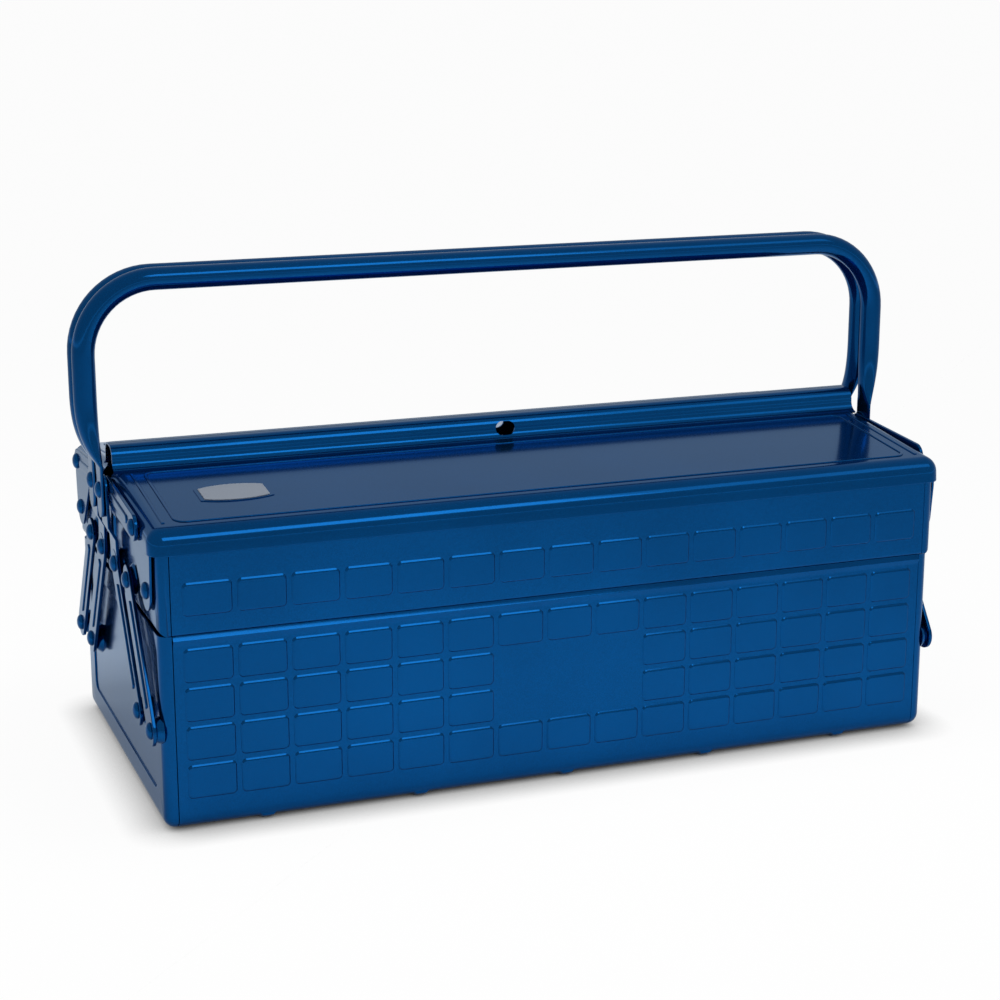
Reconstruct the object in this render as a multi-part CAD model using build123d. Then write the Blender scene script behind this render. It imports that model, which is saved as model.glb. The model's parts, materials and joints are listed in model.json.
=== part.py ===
from build123d import *
import math
import os

os.makedirs("parts", exist_ok=True)

# Driving dimensions in millimetres. X runs along the box, the front is -Y, Z is up.
base_length = 473.0
base_depth = 225.8
base_height = 112.0
tray_height = 47.0
tray_inner_rise = 8.0
tray_overhang_x = 0.7
tray_overhang_y = 1.9
lid_lap = 2.2
lid_front_rise = 9.9
lid_slope = 6.5
lid_front_round = 10.0
lid_end_round = 5.0
ridge_rise = 35.2
ridge_half = 10.0
ridge_round = 2.5
ridge_hem = 7.0
ridge_foot = 3.5
sheet = 1.0

# Clearances
seam_gap = 0.2
tuck_gap = 0.05
stack_gap = 0.4
plate_gap = 0.1
link_gap = 0.2
pin_gap = 0.05
tray_gap = 1.2
lid_gap = 0.3
ear_gap = 0.8
strap_play = 1.3

# Depth by which joined forms run into each other
sink = 0.3

# Folded sheets and flanged end panels
fold_round = 8.0
flange_width = 7.5
flange_round = 6.5
lip_width = 15.0
joggle_width = 1.2
rib_drop = 1.2
rib_width = 9.0
rib_count = 5
rib_end_margin = 57.5
rib_rise = 14.0
rim_height = 4.5
rim_depth = 0.8
field_depth = 0.8
field_margin_y = 21.0
field_margin_low = 17.0
field_margin_top = 13.0
field_round = 6.0

# Pressed pads
pad_pitch_x = 30.0
pad_pitch_z = 22.1
pad_width = 26.7
pad_height = 19.0
pad_top_margin = 7.7
pad_low_margin = 16.0
pad_round = 2.2
pad_rise = 0.9
tray_pad_margin = 10.9
tray_pad_height = 18.2
bare_columns = 3
bare_rows = 2

# Linkage
link_foot_inset = 8.2
link_foot_height = 57.8
link_spacing = 35.0
link_width = 17.0
link_thick = 2.0
bead_width = 5.0
bead_rise = 0.8
bead_stop = 15.0
tray_pivot_inset = 18.2
tray_pivot_rise = 16.7
lid_pivot_inset = 17.9
lid_pivot_rise = 22.1
strap_pin_shift = 13.2
strap_pin_rise = 32.0
strap_width = 15.0
strap_thick = 2.0
ear_thick = 1.4
ear_radius = 11.0
ear_back = 31.0
ear_lap = 5.0
ear_hang = 4.0
handle_pin_inset = 12.7
handle_pin_rise = 11.8
tab_thick = 1.8
crank_rise = 19.0
crank_height = 4.0

# Rivets
pivot_pin = 3.0
small_pin = 2.5
head_radius = 5.3
head_height = 2.0
head_round = 1.7
tail_radius = 4.5
tail_height = 1.0
boss_top = 6.5
boss_foot = 10.0
corner_boss_foot = 8.0
boss_root = 3.0

# Handles
tube_radius = 6.5
handle_rise = 100.4
handle_bend = 42.0
handle_spread = 7.0
handle_outset = 6.3
tube_rise = 27.4
flat_above = 19.0
flat_below = 16.0
flat_width = 16.0
flat_thick = 2.6

# Fine lines on the lid tops
line_width = 2.0
line_rise = 0.5
line_front_margin = 15.0
line_rear_margin = 10.0
line_end_margin = 17.7
line_step = 7.0
line_round = 6.0

# Padlock hole in the ridge
hole_length = 12.3
hole_height = 8.2
hole_drop = 7.4

# Outlines that follow from the values above
base_half = base_length / 2
base_face = base_depth / 2
tray_half = base_half + tray_overhang_x
tray_face = base_face + tray_overhang_y
tray_floor = base_height + stack_gap
tray_top = tray_floor + tray_height
lid_half = tray_half + ear_gap + ear_thick + sheet
lid_face = tray_face + stack_gap + sheet
lid_low = tray_top - lid_lap
lid_front_top = tray_top + lid_front_rise
ridge_top = tray_top + ridge_rise
slope = math.radians(lid_slope)
pad_columns = int((base_length - 2 * flange_width) // pad_pitch_x)
pad_rows = int((base_height - pad_top_margin - pad_low_margin + pad_pitch_z - pad_height) // pad_pitch_z)

# Layers of the linkage along X, from the end panels outward
ear_out = lid_half - sheet
ear_in = ear_out - ear_thick
link_in = ear_out + link_gap
link_out = link_in + link_thick
strap_in = lid_half + stack_gap
strap_out = strap_in + strap_thick
tab_in = strap_out + stack_gap
tab_out = tab_in + tab_thick
flat_out = tab_out + flat_thick
handle_half = tab_out + handle_outset

# Pivots of the front side as (y, z)
foot_outer = (-(base_face - link_foot_inset), link_foot_height)
foot_inner = (foot_outer[0] + link_spacing, link_foot_height)
top_inner = (-(tray_gap + tray_pivot_inset), tray_floor + tray_pivot_rise)
top_outer = (top_inner[0] - link_spacing, top_inner[1])
lid_pivot = (-(tray_face - lid_pivot_inset), tray_floor + lid_pivot_rise)
strap_pin = (lid_pivot[0] + strap_pin_shift, lid_pivot[1] + strap_pin_rise)
handle_pin = (-handle_pin_inset, tray_top + handle_pin_rise)


def block(x0, x1, y0, y1, z0, z1):
    """Box between two corners."""
    middle = Pos((x0 + x1) / 2, (y0 + y1) / 2, (z0 + z1) / 2)
    return middle * Box(x1 - x0, y1 - y0, z1 - z0)


def rod(x0, x1, point, radius):
    """Cylinder along X at a point (y, z)."""
    return Pos((x0 + x1) / 2, *point) * Rot(0, 90, 0) * Cylinder(radius, x1 - x0)


def disc(point, radius):
    """Flat disc drawn in local (y, z)."""
    return Pos(*point) * Circle(radius)


def hull(*outlines):
    """Face around several flat outlines."""
    edges = [edge for outline in outlines for edge in outline.edges()]
    return make_hull(edges)


def plate(outline, x0, x1):
    """Outline in (y, z) given thickness along X."""
    return extrude(Plane.YZ.offset(x0) * outline, x1 - x0)


def trough(x0, x1, y0, y1, z0, z1, fold):
    """Block whose two long lower edges are rounded."""
    solid = block(x0, x1, y0, y1, z0, z1)
    lower = solid.edges().filter_by(Axis.X).group_by(Axis.Z)[0]
    return fillet(lower, fold)


def folded_sheet(x0, x1, y0, y1, z0, z1):
    """Sheet folded up along both long sides."""
    outside = trough(x0, x1, y0, y1, z0, z1, fold_round)
    inside = trough(
        x0 - sheet,
        x1 + sheet,
        y0 + sheet,
        y1 - sheet,
        z0 + sheet,
        z1 + sheet,
        fold_round - sheet,
    )
    return outside - inside


def pan_block(x0, x1, y0, y1, z0, z1, fold, edge):
    """Trough whose end face is rounded on its three lower sides."""
    solid = trough(x0, x1, y0, y1, z0, z1, fold)
    face = solid.faces().sort_by(Axis.X)[-1]
    top = face.edges().sort_by(Axis.Z)[-1].center().Z
    sides = [side for side in face.edges() if side.center().Z < top - sink]
    return fillet(sides, edge)


def end_panel(x_out, y0, y1, z0, z1):
    """Flanged end panel with a lip tucked behind the folded sheet, right end."""
    seam = x_out - flange_width + seam_gap
    outside = pan_block(seam, x_out, y0, y1, z0, z1, fold_round, flange_round)
    inside = pan_block(
        seam - sheet,
        x_out - sheet,
        y0 + sheet,
        y1 - sheet,
        z0 + sheet,
        z1 + sheet,
        fold_round - sheet,
        flange_round - sheet,
    )
    lip = sheet + tuck_gap
    half = sheet / 2
    neck = seam + joggle_width
    start = seam - lip_width
    band = trough(start, neck, y0 + lip, y1 - lip, z0 + lip, z1, fold_round - lip)
    joggle = trough(seam, neck, y0 + half, y1 - half, z0 + half, z1, fold_round - half)
    inner = lip + sheet
    core = trough(
        start - sheet,
        neck + sheet,
        y0 + inner,
        y1 - inner,
        z0 + inner,
        z1 + sheet,
        fold_round - inner,
    )
    return (outside - inside) + ((band + joggle) - core)


def boss(x_face, point, foot):
    """Stand-off that carries a link clear of the end panel."""
    x0 = x_face - boss_root
    x1 = link_in - plate_gap
    return Pos((x0 + x1) / 2, *point) * Rot(0, 90, 0) * Cone(foot, boss_top, x1 - x0)


def rivet(x_start, x_head, point, pin, tail=tail_height):
    """Round-headed rivet along X at the right end, with a flat tail inside the panel."""
    shank = rod(x_start - tail, x_head + head_height / 2, point, pin)
    head = rod(x_head, x_head + head_height, point, head_radius)
    crown = head.edges().filter_by(GeomType.CIRCLE).sort_by(Axis.X)[-1]
    solid = shank + fillet(crown, head_round)
    if tail > 0:
        solid += rod(x_start - tail, x_start, point, tail_radius)
    return solid


def left(shape):
    """Mirror image at the left end."""
    return mirror(shape, about=Plane.YZ)


def back(shape):
    """Mirror image on the back."""
    return mirror(shape, about=Plane.XZ)


def both_ends(shapes):
    """Group of separate solids at both ends."""
    return Compound(children=list(shapes) + [left(shape) for shape in shapes])


def pad_middles():
    """Middles of the pad columns along X."""
    return [(column - (pad_columns - 1) / 2) * pad_pitch_x for column in range(pad_columns)]


def raised_pads(centres, height, face):
    """Rows of rounded pads standing on a front sheet at -face."""
    pads = Sketch()
    for x, z in centres:
        pads += Pos(x, z) * RectangleRounded(pad_width, height, pad_round)
    return extrude(Plane.XZ.offset(face - sink) * pads, pad_rise + sink)


def base_pads():
    """Pads of the base front, with a bare panel left in the middle."""
    centres = []
    for row in range(pad_rows):
        z = base_height - pad_top_margin - pad_height / 2 - row * pad_pitch_z
        for x in pad_middles():
            inner_row = abs(row - (pad_rows - 1) / 2) < bare_rows / 2
            if inner_row and abs(x) < bare_columns * pad_pitch_x / 2:
                continue
            centres.append((x, z))
    return raised_pads(centres, pad_height, base_face)


def bottom_rib(x):
    """Cross rib pressed down out of the base bottom, running up into both folds."""
    half = sheet / 2
    outside = trough(
        x - rib_width / 2, x + rib_width / 2, -base_face, base_face, 0, rib_rise, fold_round
    )
    inside = trough(
        x - rib_width,
        x + rib_width,
        -base_face + half,
        base_face - half,
        rib_drop + half,
        rib_rise + sheet,
        fold_round - half,
    )
    return outside - inside


def make_base_wrap():
    """Front, bottom and back of the base in one folded sheet."""
    half = base_half - flange_width
    wrap = folded_sheet(-half, half, -base_face, base_face, rib_drop, base_height)
    rib_pitch = (base_length - 2 * rib_end_margin) / (rib_count - 1)
    for number in range(rib_count):
        wrap += bottom_rib((number - (rib_count - 1) / 2) * rib_pitch)
    low = base_height - rim_height
    rim = block(-half, half, -base_face - rim_depth, -base_face + sink, low, base_height)
    outer_edges = rim.edges().filter_by(Axis.X).group_by(Axis.Y)[0]
    front = base_pads() + fillet(outer_edges, rim_depth * 0.9)
    return wrap + front + back(front)


def make_base_end():
    """Right end panel of the base with its pressed field and link stand-offs."""
    panel = end_panel(base_half, -base_face, base_face, rib_drop, base_height)
    field_y = base_face - field_margin_y
    low = rib_drop + field_margin_low
    high = base_height - field_margin_top
    inner = base_half - sheet
    floor = base_half - field_depth
    panel += block(inner - field_depth, inner + sink / 2, -field_y, field_y, low, high)
    field = block(floor, base_half + sheet, -field_y, field_y, low, high)
    panel -= fillet(field.edges().filter_by(Axis.X), field_round)
    for point, foot in ((foot_outer, corner_boss_foot), (foot_inner, boss_foot)):
        stand = boss(floor, point, foot)
        hole = rod(floor - 2 * boss_root, link_in, point, pivot_pin)
        panel += stand + back(stand)
        panel -= hole + back(hole)
    return panel


def base_rivets():
    """Pivot rivets of the four links at the right end of the base."""
    start = base_half - field_depth - boss_root
    rivets = [rivet(start, link_out + plate_gap, point, pivot_pin) for point in (foot_outer, foot_inner)]
    return rivets + [back(one) for one in rivets]


def make_tray_wrap():
    """Front, floor and inner wall of the front tray in one folded sheet."""
    half = tray_half - flange_width
    inner_top = tray_top + tray_inner_rise
    wrap = folded_sheet(-half, half, -tray_face, -tray_gap, tray_floor, inner_top)
    wrap -= block(
        -tray_half,
        tray_half,
        -tray_face - sheet,
        -tray_face + fold_round,
        tray_top,
        inner_top + sheet,
    )
    z = tray_floor + tray_pad_margin + tray_pad_height / 2
    return wrap + raised_pads([(x, z) for x in pad_middles()], tray_pad_height, tray_face)


def make_tray_end():
    """Right end panel of the front tray with its link stand-offs."""
    panel = end_panel(tray_half, -tray_face, -tray_gap, tray_floor, tray_top)
    for point in (top_outer, top_inner):
        panel += boss(tray_half, point, boss_foot)
        panel -= rod(tray_half - 2 * boss_root, link_in, point, pivot_pin)
    return panel - rod(tray_half - 2 * sheet, tray_half + sheet, lid_pivot, small_pin)


def tray_rivets():
    """Link rivets and lid hinge rivet at the right end of the front tray."""
    start = tray_half - boss_root
    rivets = [rivet(start, link_out + plate_gap, point, pivot_pin) for point in (top_outer, top_inner)]
    rivets.append(rivet(tray_half - sheet, ear_out + plate_gap, lid_pivot, small_pin))
    return rivets


def link_bead(start, end, x0):
    """Raised bead along the middle of a link or strap."""
    span = math.dist(start, end)
    unit = ((end[0] - start[0]) / span, (end[1] - start[1]) / span)
    near = (start[0] + unit[0] * bead_stop, start[1] + unit[1] * bead_stop)
    far = (end[0] - unit[0] * bead_stop, end[1] - unit[1] * bead_stop)
    outline = hull(disc(near, bead_width / 2), disc(far, bead_width / 2))
    return plate(outline, x0 - sink, x0 + bead_rise)


def flat_link(start, end, width, x0, x1):
    """Round-ended link with a bead on its outer face."""
    outline = hull(disc(start, width / 2), disc(end, width / 2))
    return plate(outline, x0, x1) + link_bead(start, end, x1)


def make_outer_link():
    """Right outer link of the front side."""
    link = flat_link(foot_outer, top_outer, link_width, link_in, link_out)
    for point in (foot_outer, top_outer):
        link -= rod(link_in - sheet, link_out + sheet, point, pivot_pin + pin_gap)
    return link


def make_inner_link():
    """Right inner link of the front side, cranked outward at the top to meet the handle."""
    radius = link_width / 2
    link = flat_link(foot_inner, top_inner, link_width, link_in, link_out)
    shoulder = Pos(handle_pin[0], top_inner[1] + crank_rise) * Rectangle(link_width, crank_height)
    link += plate(hull(disc(top_inner, radius), shoulder), link_in, link_out)
    link += plate(shoulder, link_in, tab_out)
    link += plate(hull(shoulder, disc(handle_pin, radius)), tab_in, tab_out)
    for point in (foot_inner, top_inner):
        link -= rod(link_in - sheet, link_out + sheet, point, pivot_pin + pin_gap)
    return link - rod(tab_in - sheet, tab_out + sheet, handle_pin, small_pin)


def make_handle():
    """Front carrying handle, one bent tube with flattened ends."""
    bar = ridge_top + handle_rise - tube_radius
    tube_end = ridge_top + tube_rise
    flat_top = handle_pin[1] + flat_above
    corners = [
        (-handle_half, tube_end),
        (-handle_half, bar),
        (handle_half, bar),
        (handle_half, tube_end),
    ]
    path = Plane.XZ.offset(handle_spread) * FilletPolyline(*corners, radius=handle_bend)
    start = Pos(-handle_half, -handle_spread, tube_end) * Circle(tube_radius)
    handle = sweep(start, path=path)
    flat_x = tab_out + flat_thick / 2
    upper = Pos(handle_half, -handle_spread, tube_end) * Circle(tube_radius)
    lower = Pos(flat_x, handle_pin[0], flat_top) * Ellipse(flat_thick / 2, flat_width / 2)
    leg = loft([lower, upper])
    low = (handle_pin[0], handle_pin[1] - flat_below + flat_width / 2)
    high = Pos(handle_pin[0], flat_top) * Rectangle(flat_width, 2 * sheet)
    leg += plate(hull(disc(low, flat_width / 2), high), tab_out, flat_out)
    leg -= rod(tab_out - sheet, flat_out + sheet, handle_pin, small_pin)
    return handle + leg + left(leg)


def handle_rivets():
    """Rivet that joins handle, inner link and lid strap at the right end."""
    return [rivet(strap_in, flat_out, handle_pin, small_pin, tail=0)]


def lid_plane(y):
    """Height of the sloping lid top at a depth y."""
    return lid_front_top + (y + lid_face) * math.tan(slope)


def lid_block(inset, rear):
    """Solid lid form, made smaller all round by an inset."""
    half = lid_half - inset
    face = -lid_face + inset
    drop = inset / math.cos(slope)
    low = lid_low - inset
    outline = Polyline(
        (face, low),
        (face, lid_plane(face) - drop),
        (rear, lid_plane(rear) - drop),
        (rear, low),
        close=True,
    )
    solid = plate(make_face(outline), -half, half)
    front_top = solid.edges().filter_by(Axis.X).sort_by(Axis.Y)[:2].sort_by(Axis.Z)[-1]
    solid = fillet(front_top, lid_front_round - inset)
    for number in (0, -1):
        end = solid.faces().sort_by(Axis.X)[number]
        chain = []
        for side in end.edges():
            middle = side.center()
            if middle.Z > low + sink and middle.Y < rear - sink:
                chain.append(side)
        solid = fillet(chain, lid_end_round - inset)
    return solid


def lid_lines():
    """Fine raised line around the lid top and a second one along each end."""
    front = -lid_face + line_front_margin
    rear = -ridge_half - line_rear_margin
    middle = (front + rear) / 2
    depth = (rear - front) / math.cos(slope)
    normal = (0, -math.sin(slope), math.cos(slope))
    top = Plane(origin=(0, middle, lid_plane(middle) - sink), x_dir=(1, 0, 0), z_dir=normal)
    length = 2 * (lid_half - line_end_margin)
    half = line_width / 2
    ring = RectangleRounded(length + line_width, depth + line_width, line_round + half)
    ring -= RectangleRounded(length - line_width, depth - line_width, line_round - half)
    for side in (-1, 1):
        ring += Pos(side * (length / 2 + line_step), 0) * Rectangle(line_width, depth)
    return extrude(top * ring, line_rise + sink)


def ridge_profile():
    """Upright and top flange of one half of the ridge, in (y, z)."""
    low = lid_low + ridge_hem
    upright = Pos(-ridge_half + sheet / 2, (low + ridge_top) / 2) * Rectangle(sheet, ridge_top - low)
    width = ridge_half - lid_gap
    flange = Pos(-lid_gap - width / 2, ridge_top - sheet / 2) * Rectangle(width, sheet)
    ridge = upright + flange
    bend = ridge.vertices().sort_by(Axis.Y)[-2:].sort_by(Axis.X)[0]
    return fillet(bend, ridge_round)


def ridge_fillet():
    """Hollow rounding where the ridge rises out of the lid top, in (y, z)."""
    wall = -ridge_half + sink
    foot_y = -ridge_half - ridge_foot
    near = (foot_y, lid_plane(foot_y) - sink)
    corner = (wall, lid_plane(wall) - sink)
    high = (wall, lid_plane(wall) + ridge_foot)
    dip = ridge_foot * (1 - math.sqrt(0.5))
    middle = (-ridge_half - dip, lid_plane(-ridge_half) + dip)
    sides = Polyline(near, corner, high)
    return make_face(sides.edges() + ThreePointArc(high, middle, near).edges())


def make_lid():
    """Front lid pressed from one sheet, with its half of the ridge."""
    rear = -ridge_half + sheet
    lid = lid_block(0, rear) - lid_block(sheet, rear + sheet)
    lid += plate(ridge_profile(), -lid_half, lid_half)
    inner_half = lid_half - lid_end_round - sheet
    lid += plate(ridge_fillet(), -inner_half, inner_half)
    lid += lid_lines()
    slot = Pos(0, ridge_top - hole_drop) * SlotOverall(hole_length, hole_height)
    lid -= extrude(Plane.XZ * slot, 2 * ridge_half)
    hole = rod(lid_half - 3 * sheet, lid_half + sheet, strap_pin, small_pin)
    return lid - hole - left(hole)


def make_ear():
    """Right hinge ear that hangs from the lid skirt to its pivot on the tray."""
    front = -lid_face + lid_end_round + ear_thick
    rear = lid_pivot[0] + ear_back
    high = lid_low + ear_lap
    low = lid_low - ear_hang
    skirt = Pos((front + rear) / 2, (high + low) / 2) * Rectangle(rear - front, high - low)
    ear = plate(hull(skirt, disc(lid_pivot, ear_radius)), ear_in, ear_out)
    return ear - rod(ear_in - sheet, ear_out + sheet, lid_pivot, small_pin + pin_gap)


def lid_rivets():
    """Rivet at the right end of the front lid that the strap turns on."""
    return [rivet(ear_out, strap_out + plate_gap, strap_pin, small_pin, tail=0)]


def make_strap():
    """Right strap of the front side, from the handle to the lid."""
    strap = flat_link(handle_pin, strap_pin, strap_width, strap_in, strap_out)
    strap -= rod(strap_in - sheet, strap_out + sheet, handle_pin, small_pin + pin_gap)
    return strap - rod(strap_in - sheet, strap_out + sheet, strap_pin, small_pin + strap_play)


# Base
nodes = {}
nodes["base_wrap"] = make_base_wrap()
base_end = make_base_end()
nodes["base_end_right"] = base_end
nodes["base_end_left"] = left(base_end)
nodes["base_pivot_rivets"] = both_ends(base_rivets())

# Front side, and the back side as its mirror image
pairs = {
    "tray_end": make_tray_end(),
    "outer_link": make_outer_link(),
    "inner_link": make_inner_link(),
    "lid_ear": make_ear(),
    "lid_strap": make_strap(),
}
singles = {"tray_wrap": make_tray_wrap(), "handle": make_handle(), "lid": make_lid()}
groups = {
    "tray_rivets": tray_rivets(),
    "handle_rivets": handle_rivets(),
    "lid_rivets": lid_rivets(),
}
for name, shape in pairs.items():
    nodes["front_" + name + "_right"] = shape
    nodes["front_" + name + "_left"] = left(shape)
    nodes["back_" + name + "_right"] = back(shape)
    nodes["back_" + name + "_left"] = left(back(shape))
for name, shape in singles.items():
    nodes["front_" + name] = shape
    nodes["back_" + name] = back(shape)
for name, shapes in groups.items():
    nodes["front_" + name] = both_ends(shapes)
    nodes["back_" + name] = both_ends([back(shape) for shape in shapes])

for name, shape in nodes.items():
    export_step(shape, "parts/" + name + ".step")
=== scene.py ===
# %% [markdown]
# A cantilever tool box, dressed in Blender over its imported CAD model. The CAD model is the fixed
# frame: every piece made here sits where a CAD node sits, and rides on the same moving body. All
# sizes are in metres, and the front of the box faces -Y.

# %% Load the frame
import json
import math

import bmesh
import bpy
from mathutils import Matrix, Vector

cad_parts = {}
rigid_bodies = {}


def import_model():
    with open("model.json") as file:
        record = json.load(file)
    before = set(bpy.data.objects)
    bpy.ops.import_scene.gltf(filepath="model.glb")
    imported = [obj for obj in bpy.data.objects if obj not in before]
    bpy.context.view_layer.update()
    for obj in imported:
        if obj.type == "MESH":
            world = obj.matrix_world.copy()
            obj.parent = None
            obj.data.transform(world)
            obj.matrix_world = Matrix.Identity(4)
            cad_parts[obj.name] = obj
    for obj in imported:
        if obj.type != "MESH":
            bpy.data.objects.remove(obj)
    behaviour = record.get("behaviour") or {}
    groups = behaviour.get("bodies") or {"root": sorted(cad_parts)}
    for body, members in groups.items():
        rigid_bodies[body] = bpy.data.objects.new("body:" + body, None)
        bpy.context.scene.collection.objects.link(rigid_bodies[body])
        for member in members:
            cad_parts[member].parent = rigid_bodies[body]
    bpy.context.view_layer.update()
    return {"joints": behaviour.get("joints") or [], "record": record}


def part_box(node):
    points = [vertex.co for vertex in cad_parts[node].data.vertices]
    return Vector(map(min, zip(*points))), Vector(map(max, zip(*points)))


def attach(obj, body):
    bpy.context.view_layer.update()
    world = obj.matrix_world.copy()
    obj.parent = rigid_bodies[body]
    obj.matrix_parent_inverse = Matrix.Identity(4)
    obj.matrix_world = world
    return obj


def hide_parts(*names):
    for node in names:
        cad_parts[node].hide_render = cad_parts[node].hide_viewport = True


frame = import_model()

MM = 0.001
hair = 0.1 * MM

# %% [markdown]
# Modelling by code is modelling by hand with the clicks written down. Everything is deselected
# first, a primitive is added, and faces or edges are picked by where they are. These helpers hold
# the few clicks that every piece repeats.

# %% Helpers: objects


def all_clear():
    """Leave edit mode and deselect everything."""
    if bpy.context.object and bpy.context.object.mode != "OBJECT":
        bpy.ops.object.mode_set(mode="OBJECT")
    bpy.ops.object.select_all(action="DESELECT")


def hold(piece):
    """Make one object the only selected and active one."""
    all_clear()
    piece.select_set(True)
    bpy.context.view_layer.objects.active = piece
    return piece


def settle(piece):
    """Move an object's place, turn and scale into its mesh."""
    hold(piece)
    bpy.ops.object.transform_apply(location=True, rotation=True, scale=True)
    return piece


def add_box(name, low, high):
    """Cube primitive between two corners."""
    all_clear()
    middle = [(a + b) / 2 for a, b in zip(low, high)]
    bpy.ops.mesh.primitive_cube_add(size=1, location=middle)
    piece = bpy.context.object
    piece.name = name
    piece.scale = [b - a for a, b in zip(low, high)]
    return settle(piece)


def add_front_plane(name, x0, x1, y, z0, z1):
    """Upright plane primitive that faces the front."""
    all_clear()
    middle = ((x0 + x1) / 2, y, (z0 + z1) / 2)
    bpy.ops.mesh.primitive_plane_add(size=1, location=middle, rotation=(math.pi / 2, 0, 0))
    piece = bpy.context.object
    piece.name = name
    piece.scale = (x1 - x0, z1 - z0, 1)
    return settle(piece)


def add_disc(name, x0, x1, point, radius, tip=None, sides=40):
    """Cylinder or cone primitive that lies along X at a point (y, z)."""
    all_clear()
    bpy.ops.mesh.primitive_cone_add(
        vertices=sides,
        radius1=radius,
        radius2=radius if tip is None else tip,
        depth=abs(x1 - x0),
        location=((x0 + x1) / 2, *point),
        rotation=(0, math.pi / 2 if x1 > x0 else -math.pi / 2, 0),
    )
    piece = bpy.context.object
    piece.name = name
    return settle(piece)


def join(pieces, name):
    """Several objects made one."""
    hold(pieces[0])
    for piece in pieces[1:]:
        piece.select_set(True)
    if len(pieces) > 1:
        bpy.ops.object.join()
    pieces[0].name = name
    return pieces[0]


# %% Helpers: edit mode


def edit(piece):
    """Enter edit mode on one object with all of it selected."""
    hold(piece)
    bpy.ops.object.mode_set(mode="EDIT")
    bpy.ops.mesh.select_all(action="SELECT")


def pick(kind, test):
    """Select the vertices, edges or faces that pass a test, and count them."""
    bpy.ops.mesh.select_mode(type=kind)
    bpy.ops.mesh.select_all(action="DESELECT")
    mesh = bmesh.from_edit_mesh(bpy.context.edit_object.data)
    items = {"VERT": mesh.verts, "EDGE": mesh.edges, "FACE": mesh.faces}[kind]
    count = 0
    for item in items:
        if test(item):
            item.select_set(True)
            count += 1
    mesh.select_flush_mode()
    bmesh.update_edit_mesh(bpy.context.edit_object.data)
    return count


def middle(item):
    """Middle of an edge or a face."""
    if isinstance(item, bmesh.types.BMFace):
        return item.calc_center_median()
    return (item.verts[0].co + item.verts[1].co) / 2


def near(a, b, gap=0.02 * MM):
    """True where two lengths are the same but for a tiny gap."""
    return abs(a - b) < gap


def pick_edges(test):
    """Pick edges by a test on their middle point and themselves."""
    return pick("EDGE", lambda edge: test(middle(edge), edge))


def pick_faces(test):
    """Pick faces by a test on their middle point and normal."""
    return pick("FACE", lambda face: test(middle(face), face.normal))


def pick_sharp(degrees, test=lambda point: True):
    """Pick edges whose two faces meet at more than an angle."""
    limit = math.radians(degrees)

    def sharp(point, edge):
        return len(edge.link_faces) == 2 and edge.calc_face_angle() > limit and test(point)

    return pick_edges(sharp)


def cut(point, normal):
    """Cut all of the mesh, or what is selected, along a plane."""
    bpy.ops.mesh.bisect(plane_co=point, plane_no=normal)


def extrude(x=0.0, y=0.0, z=0.0):
    """Extrude what is selected and move it."""
    bpy.ops.mesh.extrude_region_move(TRANSFORM_OT_translate={"value": (x, y, z)})


def round_over(offset, segments):
    """Bevel the selected edges into a rounding."""
    bpy.ops.mesh.bevel(offset=offset, segments=segments, affect="EDGES", clamp_overlap=True)


def turn_over(angle, centre, axis, steps):
    """Spin the selected edges round an axis by a right-handed angle, which spin takes as minus."""
    bpy.ops.mesh.spin(steps=steps, angle=-math.radians(angle), center=centre, axis=axis)


# %% Helpers: finishing


def add_wall(piece, thickness):
    """Give an open sheet its thickness, inward."""
    hold(piece)
    wall = piece.modifiers.new("wall", "SOLIDIFY")
    wall.thickness = thickness
    wall.offset = -1
    wall.use_even_offset = True
    bpy.ops.object.modifier_apply(modifier="wall")
    return piece


def outward(piece):
    """Turn a closed mesh right side out."""
    mesh = bmesh.new()
    mesh.from_mesh(piece.data)
    inside_out = mesh.calc_volume(signed=True) < 0
    mesh.free()
    if inside_out:
        edit(piece)
        bpy.ops.mesh.flip_normals()
        all_clear()
    return piece


def weigh_normals(piece):
    """Let the large faces lead the shading normals, up to the sharp edges."""
    hold(piece)
    flat = piece.modifiers.new("flat", "WEIGHTED_NORMAL")
    flat.keep_sharp = True
    bpy.ops.object.modifier_apply(modifier="flat")
    return piece


def smooth(piece, degrees=35):
    """Smooth shading that keeps real edges."""
    hold(piece)
    bpy.ops.object.shade_smooth_by_angle(angle=math.radians(degrees))
    return weigh_normals(piece)


def mirrored(piece, name, axis):
    """Copy of a piece on the other side, with its own mesh and its normals worked out anew."""
    hold(piece)
    bpy.ops.object.duplicate()
    copy = bpy.context.object
    copy.name = name
    copy.scale[axis] = -1
    settle(copy)
    hold(outward(copy))
    bpy.ops.mesh.customdata_custom_splitnormals_clear()
    return weigh_normals(copy)


# %% [markdown]
# The camera stands a little to the left of the front and above the lid, where the photograph was
# taken. Its lens is long, so the box keeps nearly parallel edges.

# %% Camera
camera_place = (-0.4506, -1.1854, 0.4613)
camera_turn = (math.radians(75.78), 0, math.radians(-20.83))
lens_mm, sensor_mm = 76.69, 36
all_clear()
bpy.ops.object.camera_add(location=camera_place, rotation=camera_turn)
camera = bpy.context.object
camera.data.lens = lens_mm
camera.data.sensor_width = sensor_mm
bpy.context.scene.camera = camera
print("camera", [round(value, 3) for value in camera.location])

# %% [markdown]
# The box stands in a plain white studio. Glossy paint shows what it mirrors, so the room matters
# as much as the lamps. A small class lets shader maths be written as Python sums: every sum adds
# its Math node, and one method adds any other node.

# %% Shader maths


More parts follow.
